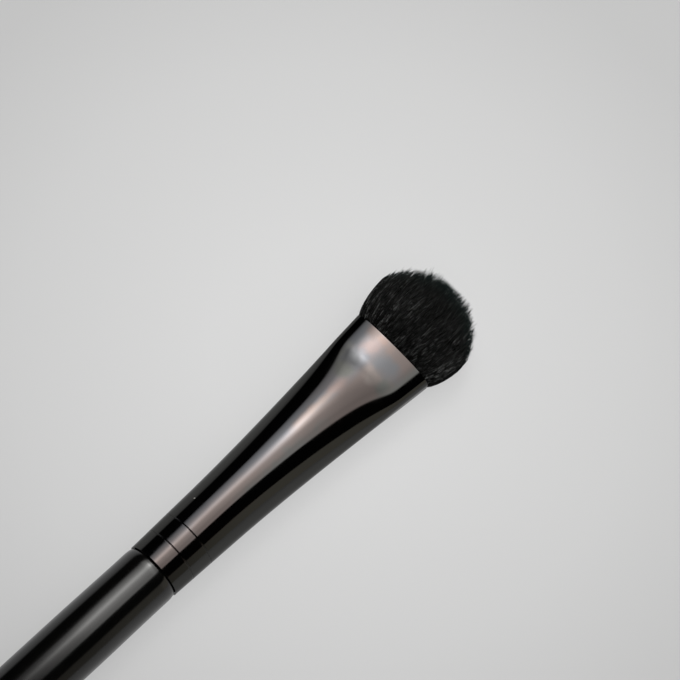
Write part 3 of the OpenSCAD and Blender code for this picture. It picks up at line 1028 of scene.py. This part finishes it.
def lamp_material():
    material, tree, glow = emission_material("soft lamp")
    place = add(tree, "ShaderNodeTexCoord")
    split = add(tree, "ShaderNodeSeparateXYZ")
    aside = add(tree, "ShaderNodeMath", operation="MULTIPLY")
    aside.inputs[1].default_value = -1
    height = add(tree, "ShaderNodeMath", operation="SUBTRACT")
    height.inputs[1].default_value = axis_z
    turn = add(tree, "ShaderNodeMath", operation="ARCTAN2")
    angle = add(tree, "ShaderNodeMath", operation="DEGREES")
    level = add(tree, "ShaderNodeMath", operation="ADD")
    link = tree.links.new
    link(place.outputs["Object"], split.inputs["Vector"])
    link(split.outputs["Y"], aside.inputs[0])
    link(split.outputs["Z"], height.inputs[0])
    link(aside.outputs[0], turn.inputs[0])
    link(height.outputs[0], turn.inputs[1])
    link(turn.outputs[0], angle.inputs[0])
    along = split.outputs["X"]
    fade = add(tree, "ShaderNodeMapRange")
    set_inputs(fade, From_Min=lamp_from, From_Max=lamp_to, To_Min=lamp_skew, To_Max=0)
    link(angle.outputs[0], fade.inputs["Value"])
    rear_share = ramp(tree, along, skew_along)
    straight = add(tree, "ShaderNodeMath", operation="SUBTRACT")
    link(angle.outputs[0], straight.inputs[0])
    link(product(tree, rear_share, fade.outputs["Result"]), straight.inputs[1])
    across = straight.outputs[0]
    crown = product(
        tree, ramp(tree, across, crown_across), ramp(tree, along, crown_along), crown_level
    )
    spot = product(
        tree, ramp(tree, across, spot_across), ramp(tree, along, spot_along), spot_level
    )
    link(crown, level.inputs[0])
    link(spot, level.inputs[1])
    link(level.outputs[0], glow.inputs["Strength"])
    set_inputs(glow, Color=(1, 0.99, 0.965, 1))
    return material


def card_material():
    """Dimmer towards the tail, and plain from the ferrule on."""
    material, tree, glow = emission_material("dim card")
    set_inputs(glow, Color=(0.378, 0.355, 0.302, 1))
    place = add(tree, "ShaderNodeTexCoord")
    split = add(tree, "ShaderNodeSeparateXYZ")
    dim = add(tree, "ShaderNodeMapRange")
    set_inputs(dim, From_Min=0.0723, From_Max=0.095, To_Min=0.6, To_Max=1.4)
    tree.links.new(place.outputs["Object"], split.inputs["Vector"])
    tree.links.new(split.outputs["X"], dim.inputs["Value"])
    tree.links.new(dim.outputs["Result"], glow.inputs["Strength"])
    return material


# A painted pool of light on the paper: how bright it is by the distance in metres from the place
# # that shows in the middle of the picture
picture_middle = (0.066, 0.006, 0)
painted_light_pool_levels = [(0, 1), (0.015, 0.99), (0.04, 0.9), (0.06, 0.79), (0.1, 0.74), (0.3, 0.74)]
paper_glow_share = 0.74


def floor_material():
    """Pale paper with a painted pool of light, a little darker away from the brush. It glows for
    the camera and in reflections, so that its shadow stays light, and far from the brush it only
    glows."""
    material, tree, shader = node_material("pale paper")
    link = tree.links.new
    place = add(tree, "ShaderNodeTexCoord")
    from_middle = add(tree, "ShaderNodeVectorMath", operation="SUBTRACT")
    from_middle.inputs[1].default_value = picture_middle
    distance = add(tree, "ShaderNodeVectorMath", operation="LENGTH")
    link(place.outputs["Object"], from_middle.inputs[0])
    link(from_middle.outputs["Vector"], distance.inputs[0])
    # Painted pool of light: the paper is brighter round the middle of the picture
    level = ramp(tree, distance.outputs["Value"], painted_light_pool_levels)
    far = add(tree, "ShaderNodeMapRange")
    set_inputs(far, From_Min=0.3, From_Max=1.2)
    link(distance.outputs["Value"], far.inputs["Value"])
    paper = mixed_color(tree, level, (0, 0, 0, 1), (0.64, 0.645, 0.65, 1))
    shine = mixed_color(tree, level, (0, 0, 0, 1), (0.685, 0.685, 0.685, 1))
    link(paper, shader.inputs["Base Color"])
    set_inputs(shader, Roughness=0.9, Specular_IOR_Level=0)
    seen = add(tree, "ShaderNodeLightPath")
    mirrored = add(tree, "ShaderNodeMath", operation="MAXIMUM")
    direct = add(tree, "ShaderNodeMath", operation="MAXIMUM")
    share = add(tree, "ShaderNodeMath", operation="MULTIPLY")
    share.inputs[1].default_value = paper_glow_share
    most = add(tree, "ShaderNodeMath", operation="MAXIMUM")
    link(seen.outputs["Is Glossy Ray"], mirrored.inputs[0])
    link(seen.outputs["Is Transmission Ray"], mirrored.inputs[1])
    link(seen.outputs["Is Camera Ray"], direct.inputs[0])
    link(mirrored.outputs[0], direct.inputs[1])
    link(direct.outputs[0], share.inputs[0])
    link(share.outputs[0], most.inputs[0])
    link(far.outputs["Result"], most.inputs[1])
    glow = add(tree, "ShaderNodeEmission")
    link(shine, glow.inputs["Color"])
    blend = add(tree, "ShaderNodeMixShader")
    link(most.outputs[0], blend.inputs["Fac"])
    link(shader.outputs["BSDF"], blend.inputs[1])
    link(glow.outputs["Emission"], blend.inputs[2])
    link(blend.outputs["Shader"], tree.nodes["Material Output"].inputs["Surface"])
    return material


# How bright the room is by the height of where one looks, from the horizon up
room_levels = [(0, 0.45), (0.12, 0.008)]


def build_world():
    """Pale below and along the horizon, and dark above, as a white sweep in a dim room is."""
    world = bpy.data.worlds.new("room")
    bpy.context.scene.world = world
    world.use_nodes = True
    tree = world.node_tree
    back = tree.nodes["Background"]
    place = add(tree, "ShaderNodeTexCoord")
    split = add(tree, "ShaderNodeSeparateXYZ")
    tree.links.new(place.outputs["Generated"], split.inputs["Vector"])
    room = ramp(tree, split.outputs["Z"], room_levels, "EASE")
    tree.links.new(room, back.inputs["Color"])


def build_fill():
    """A wide lamp that lightens the shadow, and shows in no reflection."""
    data = bpy.data.lights.new("fill", "AREA")
    data.shape = "DISK"
    data.size = fill_size
    data.energy = fill_watts
    fill = bpy.data.objects.new("fill", data)
    bpy.context.scene.collection.objects.link(fill)
    fill.location = fill_place
    fill.rotation_euler = (fill.location * -1).to_track_quat("-Z", "Y").to_euler()
    fill.visible_glossy = False


def build_stage():
    bm = bmesh.new()
    bmesh.ops.create_circle(bm, cap_ends=True, segments=64, radius=floor_r)
    stage_piece("paper_floor", bm, floor_material())
    arc_panel("soft_lamp", lamp_material(), lamp_low_x, lamp_high_x, lamp_from, lamp_to)
    arc_panel("dim_card", card_material(), card_low_x, card_high_x, card_from, card_to)
    build_fill()
    build_world()


# Camera: a long lens over the brush, leaning to its tail and a little to its -Y side

camera_distance = 532.8 * MM
lean_to_tail = math.radians(16.22)
lean_aside = math.radians(9.53)
picture_turn = math.radians(42.4)
view_right = 23.17 * MM
view_up = 28.71 * MM
lens_mm = 227.1
sensor_mm = 36


def build_camera():
    """The picture's middle lies view_right and view_up from the ferrule's rear edge."""
    towards = Vector((
        -math.sin(lean_to_tail),
        -math.cos(lean_to_tail) * math.sin(lean_aside),
        math.cos(lean_to_tail) * math.cos(lean_aside),
    ))
    along = Vector((1, 0, 0))
    along = (along - along.dot(towards) * towards).normalized()
    over = towards.cross(along)
    right = along * math.cos(picture_turn) - over * math.sin(picture_turn)
    up = along * math.sin(picture_turn) + over * math.cos(picture_turn)
    place = Vector((rear_x, 0, axis_z))
    place += camera_distance * towards + view_right * right + view_up * up
    data = bpy.data.cameras.new("camera")
    data.lens = lens_mm
    data.sensor_width = sensor_mm
    data.clip_start = 0.01
    camera = bpy.data.objects.new("camera", data)
    bpy.context.scene.collection.objects.link(camera)
    turn = Matrix((right, up, towards)).transposed().to_4x4()
    camera.matrix_world = Matrix.Translation(place) @ turn
    bpy.context.scene.camera = camera


def dress_inner_nodes():
    thread = inner_material("waxed thread", (0.6, 0.57, 0.5, 1), (0.76, 0.73, 0.66, 1), 0.8)
    resin = inner_material("cast resin", (0.5, 0.32, 0.1, 1), (0.66, 0.46, 0.2, 1), 0.25)
    glue = inner_material("glue film", (0.66, 0.56, 0.36, 1), (0.78, 0.68, 0.46, 1), 0.4)
    for node, material in (
        ("binding_thread", thread), ("root_resin", resin), ("tenon_glue", glue)
    ):
        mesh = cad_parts[node].data
        mesh.materials.clear()
        mesh.materials.append(material)


bpy.context.scene.view_settings.view_transform = "Standard"
build_handle()
build_ferrule()
build_tuft()
dress_inner_nodes()
build_stage()
build_camera()
